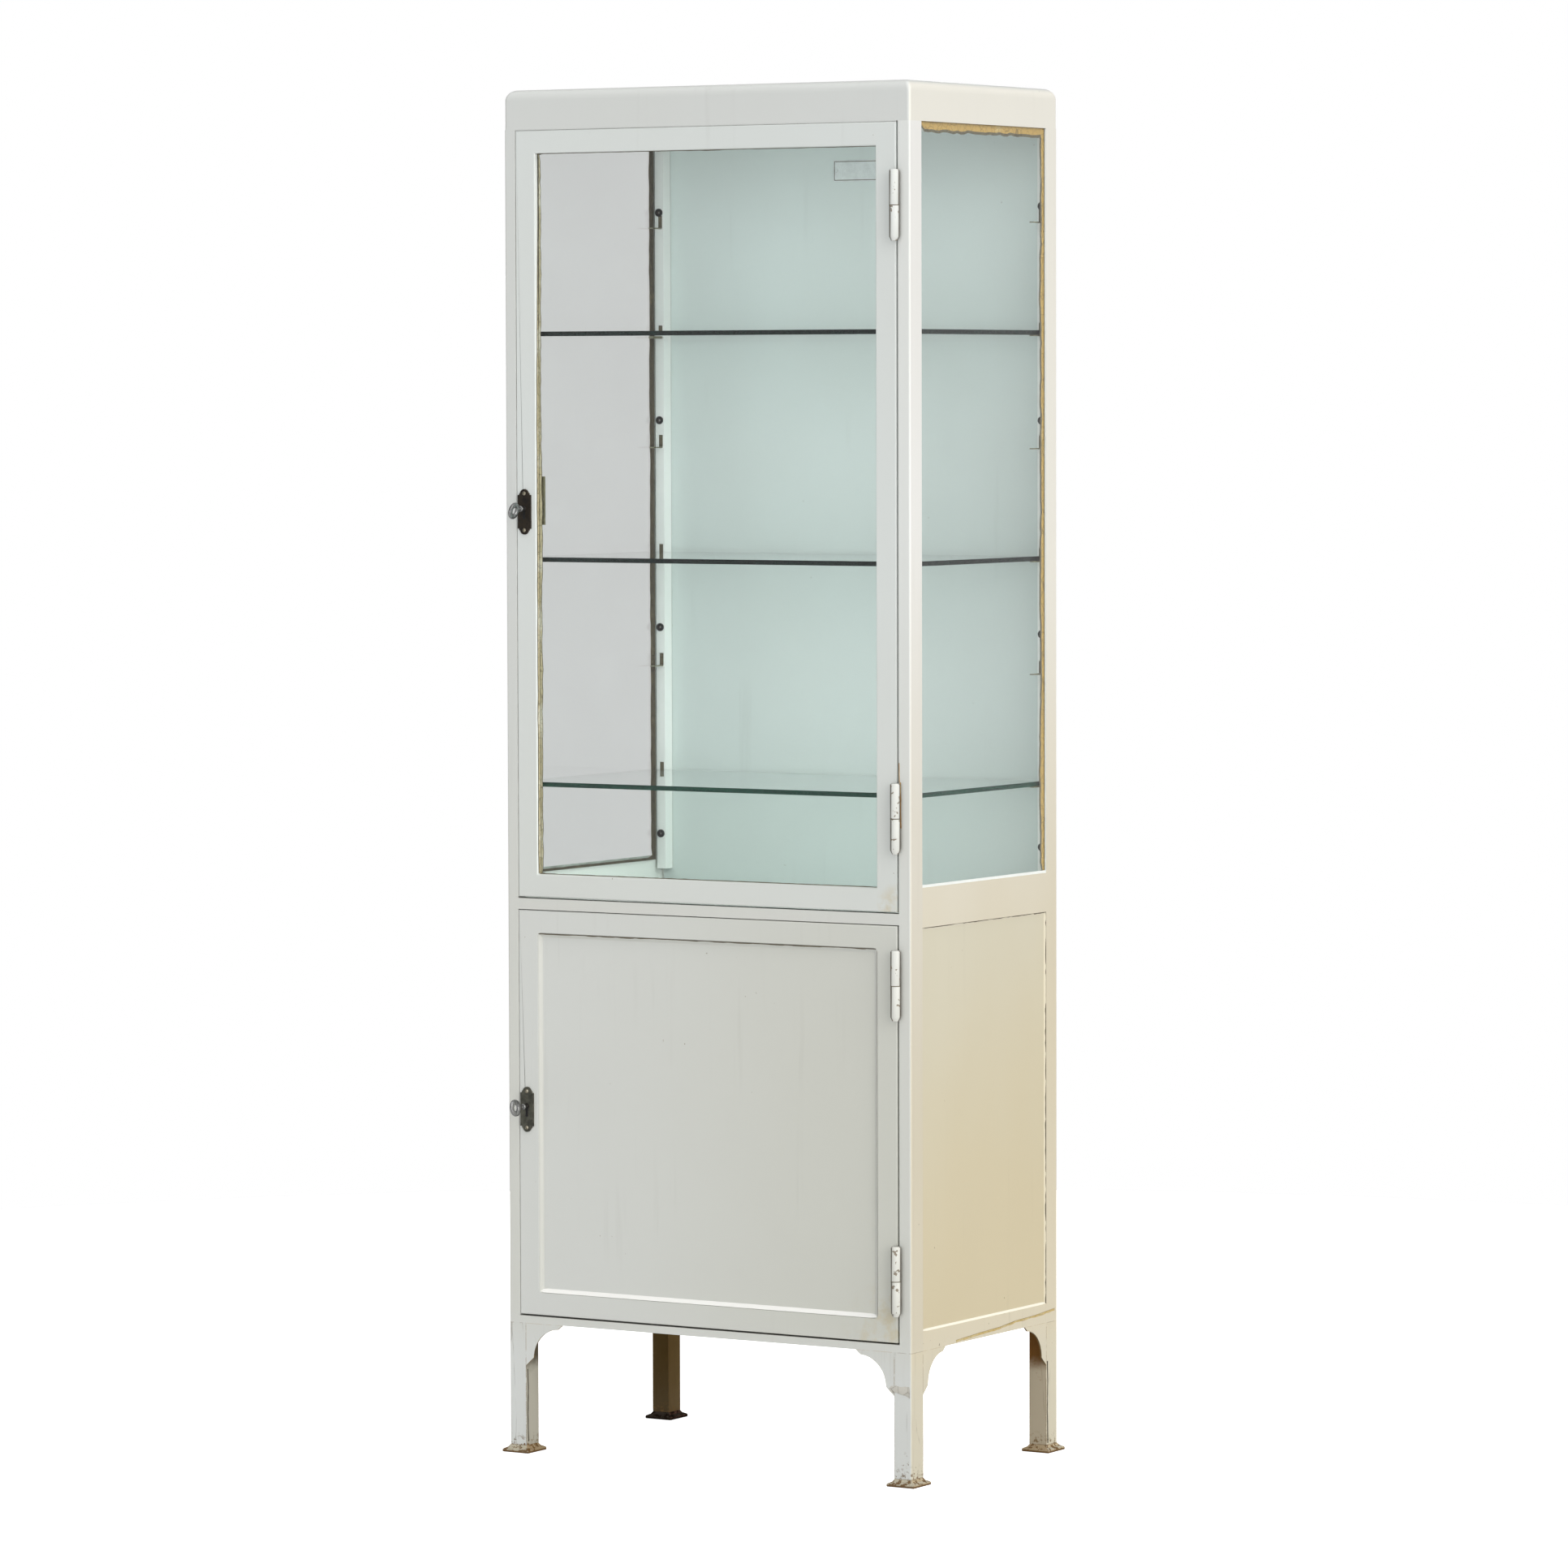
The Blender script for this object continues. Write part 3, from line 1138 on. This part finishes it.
@dataclass
class Windows(Assembly):
    """Side panes, door pane and the hand-pressed putty that beds them."""

    pitch: float = 9 * MM
    margin: float = 16 * MM
    cover: float = 6.0 * MM
    bead_top: float = 1.6
    bead_fade: float = 0.25
    bead_width: float = 4.6 * MM
    bead_steps: int = 60
    shade_low: float = 0.9
    shade_high: float = 1.65

    def dress(self) -> None:
        """Give the panes their glass."""
        dress(["side_glass_left", "side_glass_right", "upper_door_glass"], Look.GLASS)

    def build(self) -> None:
        """Press the putty round every pane."""
        self.side_bead("left", 1.0, Reach(top=8.0, bottom=3.2, near=4.0, far=8.4), 2.2 * MM, 0.9 * MM,
                       (Look.BROWN_PUTTY, Look.DIRT))
        self.side_bead("right", -1.0, Reach(top=16.0, bottom=2.6, near=3.0, far=12.5), 4.4 * MM, 3.6 * MM,
                       (Look.GOLD_PUTTY, Look.DIRT))
        low, high = (Vector(c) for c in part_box("upper_door_putty"))
        high.y = low.y
        self.bead("upper_door_putty", low, high, BACK, Reach(top=6.2, bottom=6.2, near=9.4, far=6.0), 6.2 * MM,
                  0.9 * MM, (0.42, 0.82), (Look.CREAM_PUTTY, Look.DIRT), Body.UPPER_DOOR)
        self.pane_dirt()
        self.front_bead()

    def front_bead(self) -> None:
        """Smear putty forward over the lock side of the door's opening, thinning out towards the top."""
        low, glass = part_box("upper_door_putty")[0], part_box("upper_door_glass")[0][1]
        edge = low[0] + self.cover
        bottom = low[2] + 7.0 * MM
        tall = self.bead_top - bottom
        levels = [bottom + tall * step / self.bead_steps for step in range(self.bead_steps + 1)]
        for name, trim, rise, look in (("upper_door_bead_edge", 0.0, 0.2 * MM, Look.DIRT),
                                       ("upper_door_bead_front", 1.3 * MM, 0.32 * MM, Look.CREAM_PUTTY)):
            mesh = bmesh.new()
            sections = []
            for z in levels:
                uneven = 1.0 + 0.22 * noise.noise(Vector((0.0, 3.0, z * 30.0)))
                share = min((self.bead_top - z) / self.bead_fade, 1.0) * uneven
                wide = max(self.bead_width * share - trim, 0.05 * MM)
                plan = ((edge - 0.1 * MM, glass), (edge + rise, glass), (edge + rise, glass - 0.8 * wide),
                        (edge + 0.05 * MM, glass - wide), (edge - 0.1 * MM, glass - wide))
                sections.append([Vector((x, y, z)) for x, y in plan])
            skin(mesh, sections)
            piece(name, mesh, look, Body.UPPER_DOOR)

    def pane_dirt(self) -> None:
        """Pack dirt along the foot and the head of the door's pane."""
        low, high = (Vector(c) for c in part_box("upper_door_glass"))
        left, right = low.x + self.cover, high.x - self.cover
        foot, head = low.z + self.cover, high.z - self.cover
        mesh = bmesh.new()
        for level, towards, width in ((foot, high, 1.0 * MM), (head, low, 0.8 * MM)):
            ends = [Vector((x, low.y - 0.8 * MM, level)) for x in (left, right)]
            dirt_seam(mesh, ends, -BACK, towards, width)
        piece("upper_door_pane_dirt", mesh, Look.DIRT, Body.UPPER_DOOR)

    def side_bead(self, side: str, inward: float, reach: Reach, rise: float, outline: float,
                  looks: Sequence[Look]) -> None:
        """Press the putty behind a side pane.

        Args:
            side: name of the side.
            inward: which way the bead rises along x.
            reach: usual width over the glass along each edge.
            rise: height against the frame.
            outline: width of the dirt along its inner edge.
            looks: its putty and the dirt along its edges.
        """
        low, high = (Vector(c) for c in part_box(f"side_putty_{side}"))
        low.x = high.x = min(low.x, high.x, key=lambda x: x * inward)
        self.bead(f"side_putty_{side}", low, high, inward * RIGHT, reach, rise, outline,
                  (0.12, 0.12), looks, Body.CARCASS)

    def bead(self, node: str, low: Vector, high: Vector, out: Vector, reach: Reach, rise: float, outline: float,
             shades: tuple[float, float], looks: Sequence[Look], body: Body) -> None:
        """Press one wavy bead round a pane.

        Args:
            node: the solid that the bead stands for.
            low: lowest corner of the bead's outer line, on the glass.
            high: highest corner of the bead's outer line, on the glass.
            out: direction away from the glass.
            reach: usual width over the glass along each edge.
            rise: height against the frame.
            outline: width of the dirt along its inner edge.
            shades: shares of its width that are dark beside the frame, low down and high up.
            looks: its putty and the dirt along its edges.
            body: the body that carries it.
        """
        def section(base: Vector) -> list[tuple[float, float]]:
            """Return the bead's section at a point of its line."""
            slow = noise.noise(base * 9.0)
            quick = noise.noise(base * 70.0)
            wide = reach.along(base, low, high) * (1.0 + 0.18 * slow + 0.16 * quick)
            tall = rise * (0.86 + 0.12 * noise.noise(base * 31.0))
            climb = (base.z - self.shade_low) / (self.shade_high - self.shade_low)
            shade = shades[0] + (shades[1] - shades[0]) * min(max(climb, 0.0), 1.0)
            clean = max(wide - outline, 0.3 * wide)
            return [(0.0, 0.05 * MM), (shade * clean, 0.05 * MM), (clean, 0.05 * MM), (wide, 0.05 * MM),
                    (wide - 0.3 * MM, 0.6 * MM), (0.66 * wide, 0.42 * tall), (0.4 * wide, 0.8 * tall),
                    (0.2 * wide, tall), (0.0, tall)]

        mesh = bmesh.new()
        surround(mesh, window_corners(low, high, out), out, section, self.pitch, self.margin,
                 (1, 0, 1, 1, 0, 0, 0, 0, 0))
        obj = piece(f"{node}_bead", mesh, looks[0], body, 60.0, looks[1:])
        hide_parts(node)


@dataclass
class Shelves(Assembly):
    """Three loose plates of thick glass with dark cut edges."""

    band: float = 0.12 * MM
    ease: float = 0.02 * MM

    def dress(self) -> None:
        """Give the plates their glass."""
        dress(["bottom_shelf", "middle_shelf", "top_shelf"], Look.SHELF)

    def build(self) -> None:
        """Lay the dark cut edge round each plate."""
        tones = {Body.BOTTOM_SHELF: Look.GREEN_EDGE, Body.MIDDLE_SHELF: Look.DARK_EDGE,
                 Body.TOP_SHELF: Look.DARK_EDGE}
        for body, look in tones.items():
            low, high = (Vector(c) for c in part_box(body.value))
            deep = high.z - low.z
            rim = self.ease + self.band
            section = [(-self.ease, 0.0), (-rim, 0.3 * MM), (-rim, deep - 0.3 * MM), (-self.ease, deep)]
            plan = ((low.x, low.y), (high.x, low.y), (high.x, high.y), (low.x, high.y))
            corners = [Vector((x, y, low.z)) for x, y in plan]
            mesh = bmesh.new()
            surround(mesh, corners, UP, lambda base: section, pitch=0.1, margin=20 * MM)
            piece(f"{body.value}_cut_edge", mesh, look, body, 20.0)


@dataclass
class Doors(Assembly):
    """Both doors with their hinges."""

    edge: float = 0.5 * MM
    lip_width: float = 5.0 * MM
    seam_width: float = 1.3 * MM
    cover: float = 6.0 * MM
    washer: float = 1.0 * MM

    def dress(self) -> None:
        """Give the doors and hinges their coats."""
        dress(["upper_door_frame"], Look.UPPER_DOOR, self.edge)
        dress(["lower_door_frame"], Look.LOWER_DOOR, self.edge)
        dress(["lower_door_panel"], Look.LOWER_DOOR)
        for door in ("upper", "lower"):
            dress([f"{door}_hinge_frame_halves", f"{door}_hinge_door_halves"], Look.HINGE, self.edge)
        dress(["hinge_pins"], Look.STEEL)

    def build(self) -> None:
        """Roll the lips round the lower door's sunk panel, and add what lies at the hinges."""
        low, high = (Vector(c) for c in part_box("lower_door_panel"))
        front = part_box("lower_door_frame")[0][1]
        cover = Vector((self.cover, 0.0, self.cover))
        high.y = low.y
        mesh = bmesh.new()
        out = -BACK
        curve = rolled_lip(self.lip_width, low.y - front - 0.1 * MM)
        surround(mesh, window_corners(low + cover, high - cover, out), out, lambda base: curve, pitch=0.08,
                 margin=12 * MM)
        piece("lower_door_panel_lips", mesh, Look.DOOR_LIP, Body.LOWER_DOOR)
        left, right = low.x + cover.x, high.x - cover.x
        top = high.z - cover.z
        mesh = bmesh.new()
        dirt_seam(mesh, [Vector((left, front, top)), Vector((right, front, top))], out, low, self.seam_width)
        piece("lower_door_panel_seam", mesh, Look.DIRT, Body.LOWER_DOOR)
        self.washers()
        self.hinge_rust()

    def hinge_rust(self) -> None:
        """Run rust down the post beside the upper door's bottom hinge."""
        fixed, hung, post = (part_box(n) for n in ("upper_hinge_frame_halves", "upper_hinge_door_halves",
                                                 "post_front_right"))
        joint = hung[0][2]
        top = 2.0 * joint - fixed[0][2]
        edge, face = post[0][0], post[0][1] - 0.3 * MM
        out, aside = -BACK, Vector((post[1][0], face, joint))
        mesh = bmesh.new()
        for inset, drop, width, (start, end) in ((0.1, 0.3, 1.7, (top + 25 * MM, top + 1 * MM)),
                                                 (1.4, 0.6, 2.8, (top + 1 * MM, joint - 12 * MM))):
            line = [Vector((edge + inset * MM, face, start)), Vector((edge + (inset + drop) * MM, face, end))]
            dirt_seam(mesh, line, out, aside, width * MM)
        piece("hinge_rust_run", mesh, Look.RUST, Body.CARCASS)

    def washers(self) -> None:
        """Set a dark washer between the halves of each hinge."""
        mesh = bmesh.new()
        for door in ("upper", "lower"):
            fixed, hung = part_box(f"{door}_hinge_frame_halves"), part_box(f"{door}_hinge_door_halves")
            radius = (fixed[1][0] - fixed[0][0]) / 2 + 0.12 * MM
            middle = Vector(((fixed[0][0] + fixed[1][0]) / 2, fixed[0][1] + radius - 0.12 * MM, 0.0))
            for level in (fixed[1][2], hung[0][2]):
                middle.z = level - self.washer / 2
                profile = [(0.0, 0.0), (0.0, radius), (self.washer, radius), (self.washer, 0.0)]
                spun(mesh, profile, Matrix.Translation(middle), 32)
        piece("hinge_washers", mesh, Look.DIRT, Body.CARCASS)


@dataclass
class Lock(Assembly):
    """One lock: its key plate, screws, case, bolt and key."""

    door: str
    body: Body
    key_body: Body
    bow_turn: float
    bow_out: float = 25.3 * MM
    bow_drop: float = 0.0
    bow_outer: float = 10.9 * MM
    bow_hole: float = 4.3 * MM
    bow_thick: float = 2.1 * MM
    screw_radius: float = 2.6 * MM
    screw_rise: float = 1.4 * MM
    slot_half: float = 0.35 * MM
    hole_radius: float = 3.7 * MM
    hole_rise: float = 0.08 * MM
    flange: float = 4.6 * MM

    def dress(self) -> None:
        """Give the lock's solids their metals."""
        plate = Look.BROWN_PLATE if self.body is Body.UPPER_DOOR else Look.GREY_PLATE
        dress([f"{self.door}_escutcheon"], plate, 0.4 * MM)
        dress([f"{self.door}_lock_case"], Look.CASE, 0.4 * MM)
        dress([f"{self.door}_bolt"], Look.STEEL, 0.3 * MM)

    def build(self) -> None:
        """Make the key, the plate's screws and keyhole, and the flange of the case."""
        low, high = (Vector(c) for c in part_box(f"{self.door}_key"))
        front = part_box(f"{self.door}_door_frame")[0][1]
        axis = Vector(((low.x + high.x) / 2, front, (low.z + high.z) / 2))
        mesh = bmesh.new()
        self.shank(mesh, axis)
        self.bow(mesh, axis)
        key = piece(f"{self.door}_key_detailed", mesh, Look.STEEL, self.key_body, 50.0)
        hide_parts(f"{self.door}_key")
        low, high = (Vector(c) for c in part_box(f"{self.door}_escutcheon_studs"))
        mesh = bmesh.new()
        radius = (high.x - low.x) / 2
        for level in (low.z + radius, high.z - radius):
            self.slotted_screw(mesh, Vector(((low.x + high.x) / 2, high.y, level)))
        studs = piece(f"{self.door}_plate_screws", mesh, Look.BRASS, self.body, 50.0)
        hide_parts(f"{self.door}_escutcheon_studs")
        self.case_flange()
        axis.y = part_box(f"{self.door}_escutcheon")[0][1]
        mesh = bmesh.new()
        self.keyhole(mesh, axis)
        piece(f"{self.door}_keyhole", mesh, Look.IRON, self.body)

    def case_flange(self) -> None:
        """Fold the flange of the lock's case out towards the opening."""
        low, high = (Vector(c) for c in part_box(f"{self.door}_lock_case"))
        mesh = bmesh.new()
        add_box(mesh, (high.x - 1.0 * MM, high.x + self.flange), (high.y - 5.0 * MM, high.y - 1.0 * MM),
                (low.z, high.z))
        piece(f"{self.door}_lock_flange", mesh, Look.CASE, self.body)

    def keyhole(self, mesh: Mesh, middle: Vector) -> None:
        """Cut the dark keyhole in the plate, round above and flared below.

        Args:
            mesh: the mesh that takes it.
            middle: where the key's axis meets the plate.
        """
        angles = [math.radians(a) for a in range(-55, 236, 10)]
        outline = [(self.hole_radius * math.cos(a), self.hole_radius * math.sin(a)) for a in angles]
        flare = ((1.7, -8.0), (2.2, -12.4), (1.4, -13.2))
        outline += [(-x * MM, z * MM) for x, z in flare] + [(x * MM, z * MM) for x, z in reversed(flare)]
        skin(mesh, [[middle + Vector((x, -rise, z)) for x, z in outline] for rise in (0.0, self.hole_rise)])

    def shank(self, mesh: Mesh, axis: Vector) -> None:
        """Turn the shank with its collar and cut its bit.

        Args:
            mesh: the key's mesh.
            axis: where the key's axis meets the door's face.
        """
        end = 8.3 - self.bow_out / MM
        profile = [(end, 0.0), (end, 2.0), (end + 0.4, 2.4), (-3.0, 2.4), (-2.4, 2.7), (8.6, 2.8), (8.9, 3.5),
                   (9.5, 3.9), (11.0, 3.9), (11.7, 3.5), (12.0, 3.0), (14.0, 3.2), (16.6, 3.0), (16.6, 0.0)]
        toward = Matrix.Translation(axis) @ Matrix.Rotation(math.radians(90), 4, "X")
        spun(mesh, [(along * MM, radius * MM) for along, radius in profile], toward, 24)
        outline = [(12.0, -2.0), (12.0, -8.0), (13.6, -8.0), (13.6, -6.0), (14.6, -6.0), (14.6, -8.0),
                   (16.6, -8.0), (16.6, -2.0)]
        skin(mesh, [[axis + Vector((across, along, drop)) * MM for along, drop in outline]
                    for across in (-0.9, 0.9)])

    def bow(self, mesh: Mesh, axis: Vector) -> None:
        """Forge the flat ring that the hand turns.

        Args:
            mesh: the key's mesh.
            axis: where the key's axis meets the door's face.
        """
        middle = (self.bow_outer + self.bow_hole) / 2
        half = (self.bow_outer - self.bow_hole) / 2
        place = (Matrix.Translation(axis + Vector((0.0, -self.bow_out, -self.bow_drop)))
                 @ Matrix.Rotation(math.radians(self.bow_turn), 4, "Y"))
        around, across = 36, 12
        section = []
        for turn in range(across):
            sweep = 2 * math.pi * turn / across
            flat = math.copysign(abs(math.sin(sweep)) ** 0.7, math.sin(sweep))
            reach = middle + half * math.copysign(abs(math.cos(sweep)) ** 0.8, math.cos(sweep))
            section.append((self.bow_thick * flat, reach))
        angles = [2 * math.pi * step / around for step in range(around)]
        skin(mesh, [[place @ Vector((thick, -reach * math.cos(angle), reach * math.sin(angle)))
                     for thick, reach in section] for angle in angles], True)

    def slotted_screw(self, mesh: Mesh, seat: Vector) -> None:
        """Round a screw head over and cut its slot.

        Args:
            mesh: the mesh that takes the head.
            seat: middle of its underside.
        """
        half, radius = self.slot_half, self.screw_radius
        columns = [-0.98 * radius, -0.8 * radius, -0.5 * radius, -0.25 * radius, -half - 0.05 * MM, -half, half,
                   half + 0.05 * MM, 0.25 * radius, 0.5 * radius, 0.8 * radius, 0.98 * radius]
        rows = 9
        top, base = [], []
        for across in columns:
            reach = math.sqrt(radius * radius - across * across)
            line = []
            for row in range(rows):
                up = reach * (2 * row / (rows - 1) - 1)
                out = math.sqrt(max(0.0, 1.0 - (across * across + up * up) / (radius * radius)))
                tall = self.screw_rise * (0.35 + 0.65 * out)
                tall = tall - 0.6 * MM if abs(across) <= half + 1e-9 else tall
                line.append(mesh.verts.new(seat + Vector((across, -max(tall, 0.3 * MM), up))))
            top.append(line)
            base.append([mesh.verts.new(seat + Vector((across, 0.0, reach * sign))) for sign in (-1.0, 1.0)])
        for index in range(len(columns) - 1):
            here, there = top[index], top[index + 1]
            for row in range(rows - 1):
                mesh.faces.new((here[row], there[row], there[row + 1], here[row + 1]))
            mesh.faces.new((base[index][0], base[index + 1][0], there[0], here[0]))
            mesh.faces.new((base[index + 1][1], base[index][1], here[-1], there[-1]))
            mesh.faces.new((base[index][0], base[index][1], base[index + 1][1], base[index + 1][0]))
        for index in (0, -1):
            mesh.faces.new([base[index][0], *top[index], base[index][1]])


@dataclass
class Studio:
    """Pale floor, soft light and the photograph's camera."""

    camera_at: tuple[float, float, float] = (4.7564, -7.7431, 1.3734)
    yaw: float = 31.4992
    pitch: float = -3.2273
    roll: float = 0.1427
    focal_px: float = 8757.73
    image_px: float = 1932.0
    sensor: float = 36.0
    floor_radius: float = 3.0
    floor_glow: float = 0.75

    def camera(self) -> None:
        """Set up the photograph's camera."""
        data = bpy.data.cameras.new("photo_camera")
        data.sensor_width = self.sensor
        data.lens = self.sensor * self.focal_px / self.image_px
        data.clip_end = 200.0
        turn = (Matrix.Rotation(math.radians(self.yaw), 4, "Z")
                @ Matrix.Rotation(math.radians(self.pitch), 4, "X")
                @ Matrix.Rotation(math.radians(self.roll), 4, "Y")
                @ Matrix.Rotation(math.radians(90), 4, "X"))
        camera = bpy.data.objects.new("photo_camera", data)
        bpy.context.scene.collection.objects.link(camera)
        camera.matrix_world = Matrix.Translation(self.camera_at) @ turn
        bpy.context.scene.camera = camera

    def sun(self, name: str, toward: Sequence[float], strength: float, angle: float, colour: Colour,
            through_glass: bool = True) -> None:
        """Add a soft lamp that lights everything from one direction.

        Args:
            name: the lamp's name.
            toward: direction from the cabinet to the lamp.
            strength: its power.
            angle: its spread in degrees.
            colour: its tint.
            through_glass: whether its disc shows behind a pane.
        """
        lamp = bpy.data.lights.new(name, "SUN")
        lamp.energy = strength
        lamp.angle = math.radians(angle)
        lamp.color = colour
        obj = bpy.data.objects.new(name, lamp)
        obj.rotation_mode = "QUATERNION"
        obj.rotation_quaternion = Vector(toward).to_track_quat("Z", "Y")
        obj.visible_transmission = through_glass
        bpy.context.scene.collection.objects.link(obj)

    def floor(self) -> None:
        """Lay the pale floor, which the camera sees nearly white."""
        mesh = bmesh.new()
        bmesh.ops.create_circle(mesh, cap_ends=True, radius=self.floor_radius, segments=96)
        data = bpy.data.meshes.new("studio_floor")
        mesh.to_mesh(data)
        mesh.free()
        material, graph, shader = new_material("studio_floor")
        tone = graph.remap(graph.noise(graph.place(), 2.0, 3.0), 0.3, 0.7)
        graph.feed(shader.inputs["Base Color"], graph.mix(tone, (0.74, 0.74, 0.735), (0.76, 0.76, 0.755)))
        shader.inputs["Roughness"].default_value = 0.9
        shader.inputs["Specular IOR Level"].default_value = 0.1
        glow = graph.give(graph.add("Emission"), {"Strength": self.floor_glow})
        lit = graph.give(graph.add("AddShader"), {0: shader.outputs[0], 1: glow.outputs[0]})
        seen = graph.add("LightPath").outputs["Is Camera Ray"]
        surface = graph.either(seen, shader.outputs[0], lit.outputs[0])
        graph.feed(material.node_tree.nodes["Material Output"].inputs["Surface"], surface)
        data.materials.append(material)
        floor = bpy.data.objects.new("studio_floor", data)
        bpy.context.scene.collection.objects.link(floor)

    def world(self) -> None:
        """Surround the cabinet with even light, pale grey behind its glass and white beyond it."""
        world = bpy.data.worlds.new("studio_world")
        bpy.context.scene.world = world
        world.use_nodes = True
        graph = Graph(world.node_tree)
        path = graph.add("LightPath")
        tones = [world.node_tree.nodes["Background"], *(graph.add("Background") for _ in range(3))]
        colours = ((0.32, 0.32, 0.325), (0.24, 0.24, 0.245), (0.677, 0.645, 0.645), (1.0, 1.0, 1.0))
        for tone, colour in zip(tones, colours):
            graph.feed(tone.inputs["Color"], colour)
        surface = tones[0].outputs[0]
        for tone, ray in zip(tones[1:], ("Is Glossy Ray", "Is Transmission Ray", "Is Camera Ray")):
            surface = graph.either(path.outputs[ray], surface, tone.outputs[0])
        graph.feed(world.node_tree.nodes["World Output"].inputs["Surface"], surface)

    def build(self) -> None:
        """Set up everything round the cabinet."""
        self.camera()
        self.floor()
        self.world()
        self.sun("overhead_light", (0.1, -0.15, 1.0), 1.3, 70.0, (1.0, 1.0, 1.0))
        self.sun("front_light", (0.15, -1.0, 0.0), 1.12, 60.0, (0.98, 0.995, 1.0))
        self.sun("right_light", (1.0, -0.25, 0.35), 1.88, 60.0, (1.0, 0.985, 0.95))
        self.sun("back_light", (-0.55, 1.0, 0.0), 0.8, 20.0, (1.0, 1.0, 1.0), through_glass=False)
        view = bpy.context.scene.view_settings
        view.view_transform = "Standard"
        view.look = "None"


def main() -> None:
    """Dress the cabinet, build what the solids lack and note the sizes."""
    logging.basicConfig(level=logging.INFO, format="%(name)s: %(message)s")
    Studio().build()
    assemblies: list[Assembly] = [
        Carcass(), Windows(), Shelves(), Doors(),
        Lock("upper", Body.UPPER_DOOR, Body.UPPER_KEY, 15.0, bow_drop=2.4 * MM),
        Lock("lower", Body.LOWER_DOOR, Body.LOWER_KEY, -8.0, bow_out=28.3 * MM)]
    for assembly in assemblies:
        assembly.dress()
        assembly.build()


if __name__ == "__main__":
    main()
